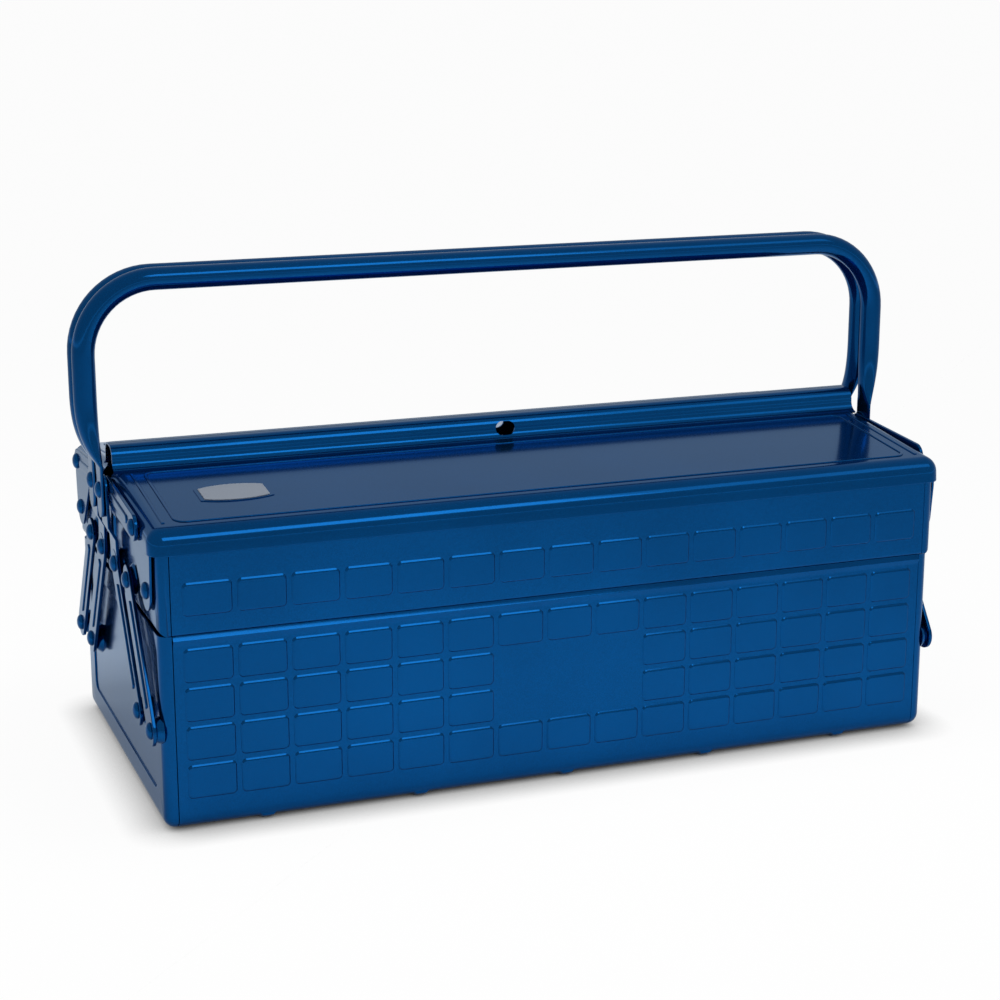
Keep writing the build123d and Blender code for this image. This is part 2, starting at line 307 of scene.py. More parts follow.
class Value:
    """A shader socket that can be added, multiplied and compared as a number."""

    def __init__(self, shader, socket):
        self.shader = shader
        self.socket = socket

    def maths(self, operation, *others):
        sockets = dict(enumerate((self, *others)))
        return self.shader.add("ShaderNodeMath", sockets, operation=operation)

    def __add__(self, other):
        return self.maths("ADD", other)

    def __sub__(self, other):
        return self.maths("SUBTRACT", other)

    def __rsub__(self, other):
        return self * -1 + other

    def __mul__(self, other):
        return self.maths("MULTIPLY", other)

    __radd__ = __add__
    __rmul__ = __mul__


class Shader:
    """Adds nodes to one material or to the world."""

    def __init__(self, owner):
        owner.use_nodes = True
        self.tree = owner.node_tree
        self.tree.nodes.clear()

    def add(self, kind, sockets=None, output=0, **settings):
        """One node: its settings first, then its sockets by name or number."""
        node = self.tree.nodes.new(kind)
        for key, setting in settings.items():
            setattr(node, key, setting)
        for key, value in (sockets or {}).items():
            if isinstance(value, Value):
                self.tree.links.new(value.socket, node.inputs[key])
            else:
                node.inputs[key].default_value = value
        return Value(self, node.outputs[output]) if node.outputs else None

    def ramp(self, value, low, high, start, end):
        """Smooth change from start to end while the value goes from low to high."""
        sockets = {0: value, 1: low, 2: high, 3: start, 4: end}
        return self.add("ShaderNodeMapRange", sockets, interpolation_type="SMOOTHSTEP")


# %% [markdown]
# The room is bright at the horizon and dimmer above, and plain white where the camera looks
# straight at it. A world picture could do the same, but a ramp on the height of the view needs no
# file.

# %% World
horizon_light, room_light, glow_top = 1.0, 0.46, 0.09
world = bpy.data.worlds.new("studio")
bpy.context.scene.world = world
bpy.context.scene.view_settings.view_transform = "Standard"
sky = Shader(world)
way = sky.add("ShaderNodeTexCoord", output="Generated")
height = sky.add("ShaderNodeSeparateXYZ", {0: way}, output="Z")
glow = sky.ramp(height, 0.0, glow_top, horizon_light, room_light)
white = glow + sky.add("ShaderNodeLightPath", output="Is Camera Ray") * (1 - glow)
sky.add("ShaderNodeOutputWorld", {0: sky.add("ShaderNodeBackground", {"Color": white})})
print("world from", horizon_light, "at the horizon to", room_light, "above")

# %% [markdown]
# The floor is white paper. To the camera it mostly glows, so that it stays white, and its glow
# darkens only in a narrow band where the box stands on it: an ambient-occlusion node paints this
# contact shadow into the glow. To the paint it is paper lit by the lamps.

# %% Floor
floor_reach = 60
paper, contact_reach = 0.9, 0.025
white_to_camera, white_to_mirrors = 0.95, 0.1
all_clear()
bpy.ops.mesh.primitive_plane_add(size=floor_reach)
floor = bpy.context.object
floor.name = "floor"
floor_white = bpy.data.materials.new("floor_white")
floor.data.materials.append(floor_white)
sweep = Shader(floor_white)
camera_ray = sweep.add("ShaderNodeLightPath", output="Is Camera Ray")
glossy_ray = sweep.add("ShaderNodeLightPath", output="Is Glossy Ray")
mirror_ray = glossy_ray + sweep.add("ShaderNodeLightPath", output="Is Transmission Ray")
lit = sweep.add("ShaderNodeBsdfDiffuse", {"Color": (paper, paper, paper, 1)})
contact = {"Color": (1, 1, 1, 1), "Distance": contact_reach}
# Painted contact shadow: the glow takes its colour from ambient occlusion near the box
shade = sweep.add("ShaderNodeAmbientOcclusion", contact, samples=8)
glowing = sweep.add("ShaderNodeEmission", {"Color": shade, "Strength": 1})
seen = camera_ray * white_to_camera + mirror_ray * white_to_mirrors
sweep.add(
    "ShaderNodeOutputMaterial",
    {"Surface": sweep.add("ShaderNodeMixShader", {0: seen, 1: lit, 2: glowing})},
)
print("floor", floor_reach, "m wide")

# %% [markdown]
# Four soft lamps: one over the box and one to its left light the floor that the paint mirrors,
# and stay out of the reflections themselves. A strip in front, weaker in its right part, draws
# the bright lines along edges and tubes.

# %% Lamps


def add_lamp(name, place, aim, size, watts):
    """Soft rectangular lamp that points at a spot."""
    all_clear()
    turn = (Vector(aim) - Vector(place)).to_track_quat("-Z", "Y").to_euler()
    bpy.ops.object.light_add(type="AREA", location=place, rotation=turn)
    lamp = bpy.context.object
    lamp.name = name
    lamp.data.shape = "RECTANGLE"
    lamp.data.size, lamp.data.size_y = size
    lamp.data.energy = watts
    return lamp


# Each lamp: place, the spot that it points at, width and depth, watts
lamp_plan = {
    "floor_lamp": ((0.03, -0.1, 0.7), (0.03, -0.1, 0), (0.4, 0.3), 2.9),
    "fill_lamp": ((-0.8, 0.15, 0.6), (-0.35, 0.1, 0), (0.6, 0.6), 1.1),
    "strip_lamp": ((0.306, -1.178, 1.3), (-0.244, -0.128, 0.1), (0.75, 0.5), 2.42),
    "side_lamp": ((0.882, -0.876, 1.3), (0.332, 0.174, 0.1), (0.55, 0.5), 0.62),
}
lamps = {name: add_lamp(name, *plan) for name, plan in lamp_plan.items()}
for name in ("floor_lamp", "fill_lamp"):
    lamps[name].visible_glossy = False
print("lamps", list(lamps))

# %% [markdown]
# The finish is one deep blue gloss paint with fine metal flake in it, on sheet, links and rivets
# alike. Flake paint takes its colour from what it mirrors: straight on it is pure blue, and at a
# low angle it pales, so it is built as a tinted metal with fine noise in colour and gloss.

# %% Paint
speck_scale, cloud_scale, peel_scale = 2600, 14, 420
speck_share, cloud_share = 0.75, 0.25
colour_spread = 0.2
speck_gloss, cloud_gloss = 0.06, 0.04
peel_strength, peel_depth = 0.02, 0.2 * MM
paint_gloss, flake_share = 0.12, 0.93


def flake_paint(name, blue):
    """Blue flake paint: fine specks in colour and gloss, and a slight orange peel."""
    material = bpy.data.materials.new(name)
    paint = Shader(material)
    place = paint.add("ShaderNodeTexCoord", output="Object")

    def noise(scale, detail):
        return paint.add("ShaderNodeTexNoise", {"Vector": place, "Scale": scale, "Detail": detail})

    specks, clouds = noise(speck_scale, 2), noise(cloud_scale, 3)
    dark = [value * (1 - colour_spread) for value in blue] + [1]
    light = [value * (1 + colour_spread) for value in blue] + [1]
    shade = paint.ramp(specks * speck_share + clouds * cloud_share, 0.3, 0.7, 0, 1)
    # A colour Mix node has its colours at inputs 6 and 7, and its result at output 2
    blend = {0: shade, 6: dark, 7: light}
    colour = paint.add("ShaderNodeMix", blend, output=2, data_type="RGBA")
    peel = {"Strength": peel_strength, "Distance": peel_depth, "Height": noise(peel_scale, 2)}
    surface = paint.add(
        "ShaderNodeBsdfPrincipled",
        {
            "Base Color": colour,
            "Metallic": flake_share,
            "Specular Tint": (0.8, 0.92, 1, 1),
            "Coat Weight": 0.03,
            "Coat Roughness": 0.04,
            "Roughness": specks * speck_gloss + clouds * cloud_gloss + (paint_gloss - 0.05),
            "Normal": paint.add("ShaderNodeBump", peel),
        },
    )
    paint.add("ShaderNodeOutputMaterial", {"Surface": surface})
    return material


sheet_blue, linkage_blue = (0.0, 0.072, 0.25), (0.0, 0.066, 0.23)
blues = {"sheet_paint": sheet_blue, "linkage_paint": linkage_blue, "rivet_paint": linkage_blue}
paints = {slot: flake_paint(slot, blue) for slot, blue in blues.items()}
print("paints", list(paints))

# %% Carried-over nodes
for subpart in frame["record"]["subparts"]:
    node = bpy.data.objects[subpart["node"]]
    node.data.materials.clear()
    node.data.materials.append(paints[subpart["material_slot"]])

# %% [markdown]
# A finished piece takes its paint, hides the CAD nodes that it stands for, and moves with their
# body. That is the same few lines for every piece, so they are written once.

# %% Seating the pieces
finished = []


def keep(piece, body, slot, *nodes):
    """Paint a finished piece, seat it in place of its CAD nodes and note it down."""
    piece.data.materials.clear()
    piece.data.materials.append(paints[slot])
    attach(piece, body)
    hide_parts(*nodes)
    finished.append(piece)


# %% [markdown]
# The base is one sheet of steel: front, bottom and back are folded from it, and rows of shallow
# pads are pressed into it to stiffen it. A plane is cut into the pad grid, each cell is inset,
# lifted and rounded, and the sheet is then spun round the fold like in a press. The sides of a
# pad are steep, and its upper edge is eased, so that it catches the light of the strip lamp.

# %% Sheet sizes
sheet = 1.0 * MM
fold = 8.0 * MM
pad_gap, pad_rise, pad_slope = 1.4 * MM, 0.9 * MM, 0.75 * MM
pad_foot, pad_corner = 0.1 * MM, 2.6 * MM
pad_edge, pad_ease = 0.45 * MM, 0.45 * MM
pad_pitch = 30.0 * MM
pad_columns = 15
base_low, base_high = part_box("base_wrap")
base_face = base_high.y - pad_rise
base_seam = base_high.x
rib_drop = 1.2 * MM
column_lines = [(number - pad_columns / 2) * pad_pitch for number in range(pad_columns + 1)]
print("base face", round(base_face, 4), "seam", round(base_seam, 4))

# %% Pressed pads


def cut_lines(places, axis):
    """Cut the whole mesh at several places along one axis."""
    for place in places:
        bpy.ops.mesh.select_all(action="SELECT")
        point, normal = [0, 0, 0], [0, 0, 0]
        point[axis], normal[axis] = place, 1
        cut(point, normal)


def press_pads(face, rows, is_pad):
    """Press a pad out of every cell of an upright sheet; rows are the cuts from low to high."""
    reach = column_lines[-1]

    def cell(point, normal):
        return abs(point.x) < reach and rows[0] < point.z < rows[-1] and is_pad(point.x, point.z)

    count = pick_faces(cell)
    bpy.ops.mesh.inset(thickness=pad_gap, use_individual=True)
    bpy.ops.mesh.extrude_region_shrink_fatten(TRANSFORM_OT_shrink_fatten={"value": pad_foot})
    lifted = -face - pad_foot
    pick_edges(lambda point, edge: abs(edge.verts[0].co.y - edge.verts[1].co.y) > pad_foot / 2)
    round_over(pad_corner, 4)
    pick_faces(lambda point, normal: near(point.y, lifted, pad_foot / 4))
    bpy.ops.mesh.inset(thickness=pad_slope, depth=pad_rise - pad_foot, use_individual=True)
    top = -face - pad_rise
    row_middles = [(low + high) / 2 for low, high in zip(rows, rows[1:])]
    half_row = (rows[1] - rows[0]) / 2

    def upper_half(corner):
        return near(corner.co.y, top) and any(0 < corner.co.z - z < half_row for z in row_middles)

    pick("VERT", upper_half)
    bpy.ops.transform.translate(value=(0, 0, -pad_ease))
    pick_edges(lambda point, edge: all(near(corner.co.y, top) for corner in edge.verts))
    round_over(pad_edge, 3)
    return count


# %% Base sheet
base_rows = [105.85 * MM, 83.75 * MM, 61.65 * MM, 39.55 * MM, 17.45 * MM]
rim_low, rim_full, rim_slope, rim_top = (z * MM for z in (106.4, 109.2, 109.5, 111.4))
rim_rise, rim_lean = 1.2 * MM, 0.1 * MM
fold_top = rib_drop + fold
base_wrap = add_front_plane(
    "base_sheet", -base_seam, base_seam, -base_face, fold_top, base_high.z
)
edit(base_wrap)
cut_lines(column_lines, 0)
cut_lines(base_rows + [rim_low, rim_full, rim_slope, rim_top], 2)
bare_reach = 1.5 * pad_pitch


def is_base_pad(x, z):
    return abs(x) > bare_reach or not base_rows[3] < z < base_rows[1]


print("pads", press_pads(base_face, base_rows[::-1], is_base_pad))

# %% Base rim and folds
pick("VERT", lambda corner: rim_low + hair < corner.co.z < rim_slope + hair)
bpy.ops.transform.translate(value=(0, -rim_rise, 0))
pick("VERT", lambda corner: corner.co.z > rim_top - hair)
bpy.ops.transform.translate(value=(0, rim_lean, 0))
pick_edges(lambda point, edge: near(point.z, fold_top) and near(point.y, -base_face))
turn_over(90, (0, -base_face + fold, fold_top), (1, 0, 0), 8)
pick_edges(lambda point, edge: near(point.z, rib_drop))
extrude(y=base_face - fold)
all_clear()
lowest = min(corner.co.z for corner in base_wrap.data.vertices)
print("bottom at", round(lowest / MM, 3), "mm")

# %% [markdown]
# Five ribs cross the bottom and run up into the folds. The box stands on them, and their ends
# show as small bumps along the lower front edge.

# %% Bottom ribs
rib_pitch = 89.5 * MM
rib_half, rib_slope = 4.5 * MM, 1.6 * MM
rib_top = rib_drop + 0.4 * fold
rib_middles = [number * rib_pitch for number in range(-2, 3)]
edit(base_wrap)
cut_lines([middle_x + side * rib_half for middle_x in rib_middles for side in (-1, 1)], 0)
pick_faces(
    lambda point, normal: point.z < rib_top
    and any(abs(point.x - middle_x) < rib_half for middle_x in rib_middles)
)
bpy.ops.mesh.inset(thickness=rib_slope, depth=rib_drop, use_boundary=False)
all_clear()
half_sheet = base_wrap.modifiers.new("back_half", "MIRROR")
half_sheet.use_axis = (False, True, False)
half_sheet.merge_threshold = 0.05 * MM
hold(base_wrap)
bpy.ops.object.modifier_apply(modifier="back_half")
smooth(add_wall(base_wrap, sheet), 40)
keep(base_wrap, "base", "sheet_paint", "base_wrap")
print("base sheet", len(base_wrap.data.polygons), "faces")

# %% [markdown]
# Each tray is a folded sheet as well: an outer wall with one row of pads, a floor, and a plain
# inner wall that stands higher. The back tray is the mirror image of the front one.

# %% Tray sheets
tray_low, tray_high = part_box("front_tray_wrap")
tray_face = -tray_low.y - pad_rise
tray_seam = tray_high.x
tray_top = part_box("front_tray_end_right")[1].z
tray_fold = 1.8 * MM
tray_fold_top = tray_low.z + tray_fold
tray_pad_foot, tray_pad_head = 9.3 * MM, 30.7 * MM
tray_rows = [tray_low.z + tray_pad_foot, tray_low.z + tray_pad_head]
tray_wrap = add_front_plane(
    "front_tray_sheet", -tray_seam, tray_seam, -tray_face, tray_fold_top, tray_top
)
edit(tray_wrap)
cut_lines(column_lines, 0)
cut_lines(tray_rows, 2)
print("pads", press_pads(tray_face, tray_rows, lambda x, z: True))
pick_edges(lambda point, edge: near(point.z, tray_fold_top) and near(point.y, -tray_face))
turn_over(90, (0, -tray_face + tray_fold, tray_fold_top), (1, 0, 0), 5)
inner_fold = tray_high.y - tray_fold
pick_edges(lambda point, edge: near(point.z, tray_low.z))
extrude(y=inner_fold + tray_face - tray_fold)
pick_edges(lambda point, edge: near(point.z, tray_low.z) and near(point.y, inner_fold))
turn_over(90, (0, inner_fold, tray_fold_top), (1, 0, 0), 5)
pick_edges(lambda point, edge: near(point.z, tray_fold_top) and near(point.y, tray_high.y))
extrude(z=tray_high.z - tray_fold_top)
all_clear()
smooth(add_wall(tray_wrap, sheet), 40)
keep(tray_wrap, "front_tray", "sheet_paint", "front_tray_wrap")
back_wrap = mirrored(tray_wrap, "back_tray_sheet", 1)
keep(back_wrap, "back_tray", "sheet_paint", "back_tray_wrap")
print("tray sheet", len(tray_wrap.data.polygons), "faces")

# %% [markdown]
# The end panels are shallow pans: their rim is rounded over on three sides, and a lip behind it
# is tucked into the folded sheet. A box without its top and inner face is bevelled twice and
# stepped in for the lip. The base ends also get a pressed field in their middle.

# %% End pans
flange, flange_round = 7.5 * MM, 6.5 * MM
seam_gap, tuck, lip_step = 0.5 * MM, 1.05 * MM, 0.8 * MM


def flanged_end(name, seam, low, high, lower_fold):
    """Right end pan between two corners, with its lip tucked in behind the seam."""
    pan = add_box(name, low, high)
    edit(pan)
    pick_faces(lambda point, normal: normal.x < -0.9 or normal.z > 0.9)
    bpy.ops.mesh.delete(type="FACE")

    def on_end(point, edge):
        outermost = all(near(corner.co.x, high[0]) for corner in edge.verts)
        return outermost and len(edge.link_faces) == 2

    def lengthwise(point, edge):
        return near(point.z, low[2]) and near(edge.verts[0].co.y, edge.verts[1].co.y)

    steps = [(lengthwise, lower_fold, 8), (on_end, flange_round, 6)]
    if lower_fold < flange_round:
        steps.reverse()
    for test, radius, segments in steps:
        pick_edges(test)
        round_over(radius, segments)
    cut_lines([seam, seam - lip_step], 0)
    pick("VERT", lambda corner: corner.co.x < seam - lip_step / 2)
    bpy.ops.transform.shrink_fatten(value=-tuck)
    return pan


# %% Pressed field of the base ends
base_out = base_seam + flange
field_depth, field_round, field_edge = 0.8 * MM, 6 * MM, 0.3 * MM
side_margin, low_margin, top_margin = 21 * MM, 17 * MM, 13 * MM
field_y = base_face - side_margin
field_low, field_high = rib_drop + low_margin, base_high.z - top_margin
lip_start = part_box("base_end_right")[0].x
base_end = flanged_end(
    "base_end_pan_right",
    base_seam + seam_gap,
    (lip_start, -base_face, rib_drop),
    (base_out, base_face, base_high.z),
    fold,
)


def end_face(point, normal):
    return normal.x > 0.99 and near(point.x, base_out)


for place, axis in ((field_y, 1), (-field_y, 1), (field_low, 2), (field_high, 2)):
    pick_faces(end_face)
    spot, way = [0, 0, 0], [0, 0, 0]
    spot[axis], way[axis] = place, 1
    cut(spot, way)
pick_faces(
    lambda point, normal: end_face(point, normal)
    and abs(point.y) < field_y
    and field_low < point.z < field_high
)
extrude(x=-field_depth)
pick_edges(lambda point, edge: near(point.x, base_out - field_depth / 2))
round_over(field_round, 6)
field_floor = base_out - field_depth
pick_sharp(
    60,
    lambda point: abs(point.y) < field_y + MM
    and field_low - MM < point.z < field_high + MM
    and point.x > field_floor - hair,
)
round_over(field_edge, 2)
all_clear()
add_wall(base_end, sheet)
print("base end", len(base_end.data.polygons), "faces")

# %% [markdown]
# The links turn on stand-off bosses that are pressed out of the end panels. A cone is the start;
# its rim is rounded, and it is sunk a little into the panel that carries it.

# %% Stand-off bosses
bar_thick, running_gap = 2 * MM, 0.1 * MM
link_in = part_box("front_outer_link_right")[0].x
link_out = link_in + bar_thick
joint_points = {joint["name"]: Vector(joint["pos_m"]).yz for joint in frame["joints"]}
foot_inner = joint_points["front_handle_swing"]
foot_outer = joint_points["front_outer_link_swing"]
top_inner = joint_points["front_tray_level"]
top_outer = top_inner + foot_outer - foot_inner
lid_pivot = joint_points["front_lid_hinge"]
handle_pin = joint_points["front_strap_pivot"]
rivet_low, rivet_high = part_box("front_lid_rivets")
strap_pin = ((rivet_low + rivet_high) / 2).yz
boss_top, boss_edge, boss_sink = 6.5 * MM, 0.5 * MM, 0.6 * MM
narrow_foot, wide_foot = 8 * MM, 10 * MM


def add_boss(x_foot, point, foot):
    """Stand-off from the panel to just under a link."""
    boss = add_disc("boss", x_foot, link_in - running_gap, point, foot, boss_top, 36)
    edit(boss)
    pick_sharp(30, lambda spot: spot.x > link_in - 2 * running_gap)
    round_over(boss_edge, 3)
    all_clear()
    return boss


def flipped(point):
    """The same point (y, z) at the back."""
    return Vector((-point[0], point[1]))


stands = []
for point, foot in ((foot_outer, narrow_foot), (foot_inner, wide_foot)):
    for spot in (point, flipped(point)):
        stands.append(add_boss(field_floor - boss_sink, spot, foot))
base_end = smooth(join([base_end] + stands, "base_end_pan_right"))
keep(base_end, "base", "sheet_paint", "base_end_right")
left_end = mirrored(base_end, "base_end_pan_left", 0)
keep(left_end, "base", "sheet_paint", "base_end_left")
print("bosses", len(stands))

# %% Tray ends
tray_out = tray_seam + flange
tray_end = flanged_end(
    "front_tray_pan_right",
    tray_seam + seam_gap,
    (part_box("front_tray_end_right")[0].x, -tray_face, tray_low.z),
    (tray_out, tray_high.y, tray_top),
    tray_fold,
)
all_clear()
add_wall(tray_end, sheet)
stands = [add_boss(tray_out - boss_sink, point, wide_foot) for point in (top_outer, top_inner)]
tray_end = smooth(join([tray_end] + stands, "front_tray_pan_right"))


def keep_four(piece, stem, body, slot, node):
    """Seat a right front piece and its copies at the other three places."""
    front_left = mirrored(piece, "front_" + stem + "_left", 0)
    back_right = mirrored(piece, "back_" + stem + "_right", 1)
    back_left = mirrored(front_left, "back_" + stem + "_left", 1)
    copies = {"front_right": piece, "front_left": front_left}
    copies.update({"back_right": back_right, "back_left": back_left})
    for place, copy in copies.items():
        side, end = place.split("_")
        keep(copy, side + "_" + body, slot, side + "_" + node + "_" + end)


keep_four(tray_end, "tray_pan", "tray", "sheet_paint", "tray_end")
print("tray end", len(tray_end.data.polygons), "faces")

# %% [markdown]
# The lids are glossy pressings with a slightly sloping top. A box loses its bottom and rear face,
# its front edge is lowered and drawn back, so that the skirt flares, and all its edges are
# rounded alike in one bevel, which lets the corners close by themselves.

# %% Lid pressing
lid_low, lid_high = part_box("front_lid")
lid_half, lid_face = lid_high.x, -lid_low.y
ridge_half = 10 * MM
lid_round, skirt_flare, hem_round = 8 * MM, 1.3 * MM, 0.4 * MM
front_rise, rear_rise = 13.6 * MM, 24.2 * MM
front_top, rear_top = lid_low.z + front_rise, lid_low.z + rear_rise
lid_slope = math.atan((rear_top - front_top) / (lid_face - ridge_half))
front_corner, rear_corner = (-lid_half, -lid_face, lid_low.z), (lid_half, -ridge_half, rear_top)
lid = add_box("front_lid_sheet", front_corner, rear_corner)
edit(lid)
pick("VERT", lambda corner: near(corner.co.y, -lid_face) and near(corner.co.z, rear_top))
bpy.ops.transform.translate(value=(0, skirt_flare, front_top - rear_top))
pick_faces(lambda point, normal: normal.z < -0.9 or normal.y > 0.9)
bpy.ops.mesh.delete(type="FACE")
pick_edges(lambda point, edge: len(edge.link_faces) == 2)
round_over(lid_round, 8)
all_clear()
add_wall(lid, sheet)
edit(lid)
pick_sharp(60, lambda point: near(point.z, lid_low.z))
round_over(hem_round, 3)
all_clear()
smooth(lid)
print("lid", len(lid.data.polygons), "faces")

# %% [markdown]
# Both lids rise to a ridge in the middle. Each half is a strip that sweeps up out of the lid top,
# is bent over at its upper edge, and has an oblong hole for the shackle of a padlock.

# %% Ridge strip
ridge_inset, ridge_foot, ridge_bend, ridge_lift = 2 * MM, 6 * MM, 7 * MM, 0.02 * MM
ridge_reach = lid_half - ridge_inset
ridge = add_front_plane("ridge", -ridge_reach, ridge_reach, -ridge_half, rear_top, lid_high.z)
edit(ridge)
pick_edges(lambda point, edge: near(point.z, lid_high.z))
extrude(y=ridge_half + lid_high.y)
pick_edges(lambda point, edge: near(point.z, rear_top))
foot_run = ridge_foot * math.tan((math.pi / 2 - lid_slope) / 2) + 2 * hair
extrude(y=-foot_run * math.cos(lid_slope), z=-foot_run * math.sin(lid_slope))
pick_edges(lambda point, edge: near(point.y, -ridge_half) and near(point.z, rear_top))
round_over(foot_run - hair, 8)
pick_edges(lambda point, edge: near(point.y, -ridge_half) and near(point.z, lid_high.z))
round_over(ridge_bend, 8)
bpy.ops.mesh.select_all(action="SELECT")
bpy.ops.transform.translate(value=(0, 0, ridge_lift))
all_clear()
add_wall(ridge, sheet)
print("ridge", len(ridge.data.polygons), "faces")

# %% Padlock hole
hole_length, hole_height, hole_drop = 12.3 * MM, 8.2 * MM, 7.4 * MM
hole_z = lid_high.z - hole_drop
hole_ends = []
for side in (-1, 1):
    all_clear()
    bpy.ops.mesh.primitive_cylinder_add(
        vertices=32,
        radius=hole_height / 2,
        depth=3 * ridge_half,
        location=(side * (hole_length - hole_height) / 2, -ridge_half, hole_z),
        rotation=(math.pi / 2, 0, 0),
    )
    hole_ends.append(settle(bpy.context.object))
punch = join(hole_ends, "punch")
edit(punch)
bpy.ops.mesh.convex_hull()
all_clear()
hold(ridge)
hole = ridge.modifiers.new("hole", "BOOLEAN")
hole.operation = "DIFFERENCE"
hole.solver = "EXACT"
hole.object = punch
bpy.ops.object.modifier_apply(modifier="hole")
hold(punch)
bpy.ops.object.delete()
smooth(ridge)
print("ridge with hole", len(ridge.data.polygons), "faces")

# %% [markdown]
# A fine raised line frames the lid top, with a second short one along each end. They are thin
# rings with a rounded crest, made flat and then laid on the slope of the lid.

# %% Lid lines
line_width, line_rise, line_edge, line_corner = 2 * MM, 0.5 * MM, 0.45 * MM, 7 * MM
front_margin, rear_margin, end_margin, bar_gap = 13.5 * MM, 10 * MM, 17.7 * MM, 7 * MM
frame_front, frame_rear = lid_face - front_margin, ridge_half + rear_margin
frame_depth = (frame_front - frame_rear) / math.cos(lid_slope)
frame_half = lid_half - end_margin
frame_y = -(frame_front + frame_rear) / 2


def lid_height(y):
    """Height of the sloping lid top at a place between front and ridge."""
    return front_top + (y + lid_face) * math.tan(lid_slope)


def lay_on_lid(piece, x, y):
    """Put a piece that was made flat at the origin onto the lid's slope."""
    piece.location = (x, y, lid_height(y))
    piece.rotation_euler = (lid_slope, 0, 0)
    return settle(piece)


def add_flat(name, width, depth):
    """Flat plane at the origin."""
    all_clear()
    bpy.ops.mesh.primitive_plane_add(size=1)
    piece = bpy.context.object
    piece.name = name
    piece.scale = (width, depth, 1)
    return settle(piece)


ring = add_flat("ring", 2 * frame_half + line_width, frame_depth + line_width)
edit(ring)
bpy.ops.mesh.bevel(offset=line_corner, segments=8, affect="VERTICES")
bpy.ops.mesh.select_mode(type="FACE")
bpy.ops.mesh.select_all(action="SELECT")
bpy.ops.mesh.inset(thickness=line_width)
bpy.ops.mesh.delete(type="FACE")
bpy.ops.mesh.select_all(action="SELECT")
extrude(z=line_rise)
pick_sharp(60, lambda point: near(point.z, line_rise))
round_over(line_edge, 3)
all_clear()
lay_on_lid(outward(ring), 0, frame_y)
bars = []
bar_corner = Vector((line_width / 2, frame_depth / 2, line_rise))
for side in (-1, 1):
    bar = add_box("bar", -bar_corner, bar_corner)
    edit(bar)
    pick_sharp(60, lambda point: near(point.z, line_rise))
    round_over(line_edge, 3)
    all_clear()
    bars.append(lay_on_lid(bar, side * (frame_half + bar_gap), frame_y))
lines = smooth(join([ring] + bars, "lines"))
print("lid lines", len(lines.data.polygons), "faces")

# %% [markdown]
# A bare metal plate lies on the front lid, in a low seat that is pressed up around it. Both have
# the same barrel form, with bowed long sides and straight ends: a wide oval whose ends are cut
# off.

# %% Barrel form and seat
oval_share, barrel_edge = 1.36, 0.25 * MM
plate_x, plate_y = -181.8 * MM, -64.8 * MM
plate_length, plate_depth, plate_rise = 37 * MM, 25 * MM, 0.9 * MM
seat_length, seat_depth, seat_rise = 41.5 * MM, 27 * MM, 0.4 * MM


def add_barrel(name, length, depth, low, high):
    """Flat plate with bowed long sides: a wide oval with both ends cut off."""
    all_clear()
    bpy.ops.mesh.primitive_cylinder_add(vertices=96, radius=0.5, depth=1)
    piece = bpy.context.object
    piece.name = name
    piece.scale = (oval_share * length, depth, high - low)
    piece.location = (0, 0, (low + high) / 2)
    settle(piece)
    edit(piece)
    for side in (-1, 1):
        spot, way_out = (side * length / 2, 0, 0), (side, 0, 0)
        bpy.ops.mesh.select_all(action="SELECT")
        bpy.ops.mesh.bisect(plane_co=spot, plane_no=way_out, clear_outer=True, use_fill=True)
    pick_sharp(60, lambda point: near(point.z, high))
    round_over(barrel_edge, 2)
    all_clear()
    return outward(piece)


plate_seat = add_barrel("seat", seat_length, seat_depth, -seat_rise, seat_rise)
smooth(lay_on_lid(plate_seat, plate_x, plate_y))
back_lid = mirrored(join([lid, ridge, lines], "front_lid_sheet"), "back_lid_sheet", 1)
lid = join([lid, plate_seat], "front_lid_sheet")
keep(lid, "front_lid", "sheet_paint", "front_lid")
keep(back_lid, "back_lid", "sheet_paint", "back_lid")
print("lid with ridge and lines", len(lid.data.polygons), "faces")

# %% [markdown]
# The plate itself is a little smaller than its seat and higher, in satin metal. Fine noise in its
# gloss stands for the grain of rolled metal.

# %% Bare plate
plate_grey, grain_scale = (0.19, 0.22, 0.27, 1), 900
grain_gloss, plate_gloss = 0.1, 0.3
plate_metal = bpy.data.materials.new("plate_metal")
satin = Shader(plate_metal)
place = satin.add("ShaderNodeTexCoord", output="Object")
grain = satin.add("ShaderNodeTexNoise", {"Vector": place, "Scale": grain_scale, "Detail": 2})
gloss = grain * grain_gloss + plate_gloss
satin_look = {"Base Color": plate_grey, "Metallic": 0.2, "Roughness": gloss}
satin_surface = satin.add("ShaderNodeBsdfPrincipled", satin_look)
satin.add("ShaderNodeOutputMaterial", {"Surface": satin_surface})
plate = add_barrel("bare_plate", plate_length, plate_depth, 0.0, plate_rise)
smooth(lay_on_lid(plate, plate_x, plate_y))
plate.data.materials.append(plate_metal)
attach(plate, "front_lid")
print("plate", len(plate.data.polygons), "faces")

# %% [markdown]
# The linkage is cut from flat bar: round-ended links with a bead pressed along the middle. Two
# discs are wrapped in a convex hull, flat facets are dissolved, and the rims are rounded.

# %% Round-ended bars
link_radius, strap_radius = 8.5 * MM, 7.5 * MM
bead_radius, bead_rise, bead_stop = 2.5 * MM, 0.8 * MM, 15 * MM
bead_sink, bead_edge, bar_edge = 0.7 * MM, 0.65 * MM, 0.4 * MM


def wrap(pieces, name, rim):
    """Wrap pieces in one convex form and round its rims."""
    form = join(pieces, name)
    edit(form)
    bpy.ops.mesh.convex_hull()
    bpy.ops.mesh.select_all(action="SELECT")
    bpy.ops.mesh.dissolve_limited(angle_limit=math.radians(1))
    pick_sharp(60)
    round_over(rim, 3)
    all_clear()
    return outward(form)


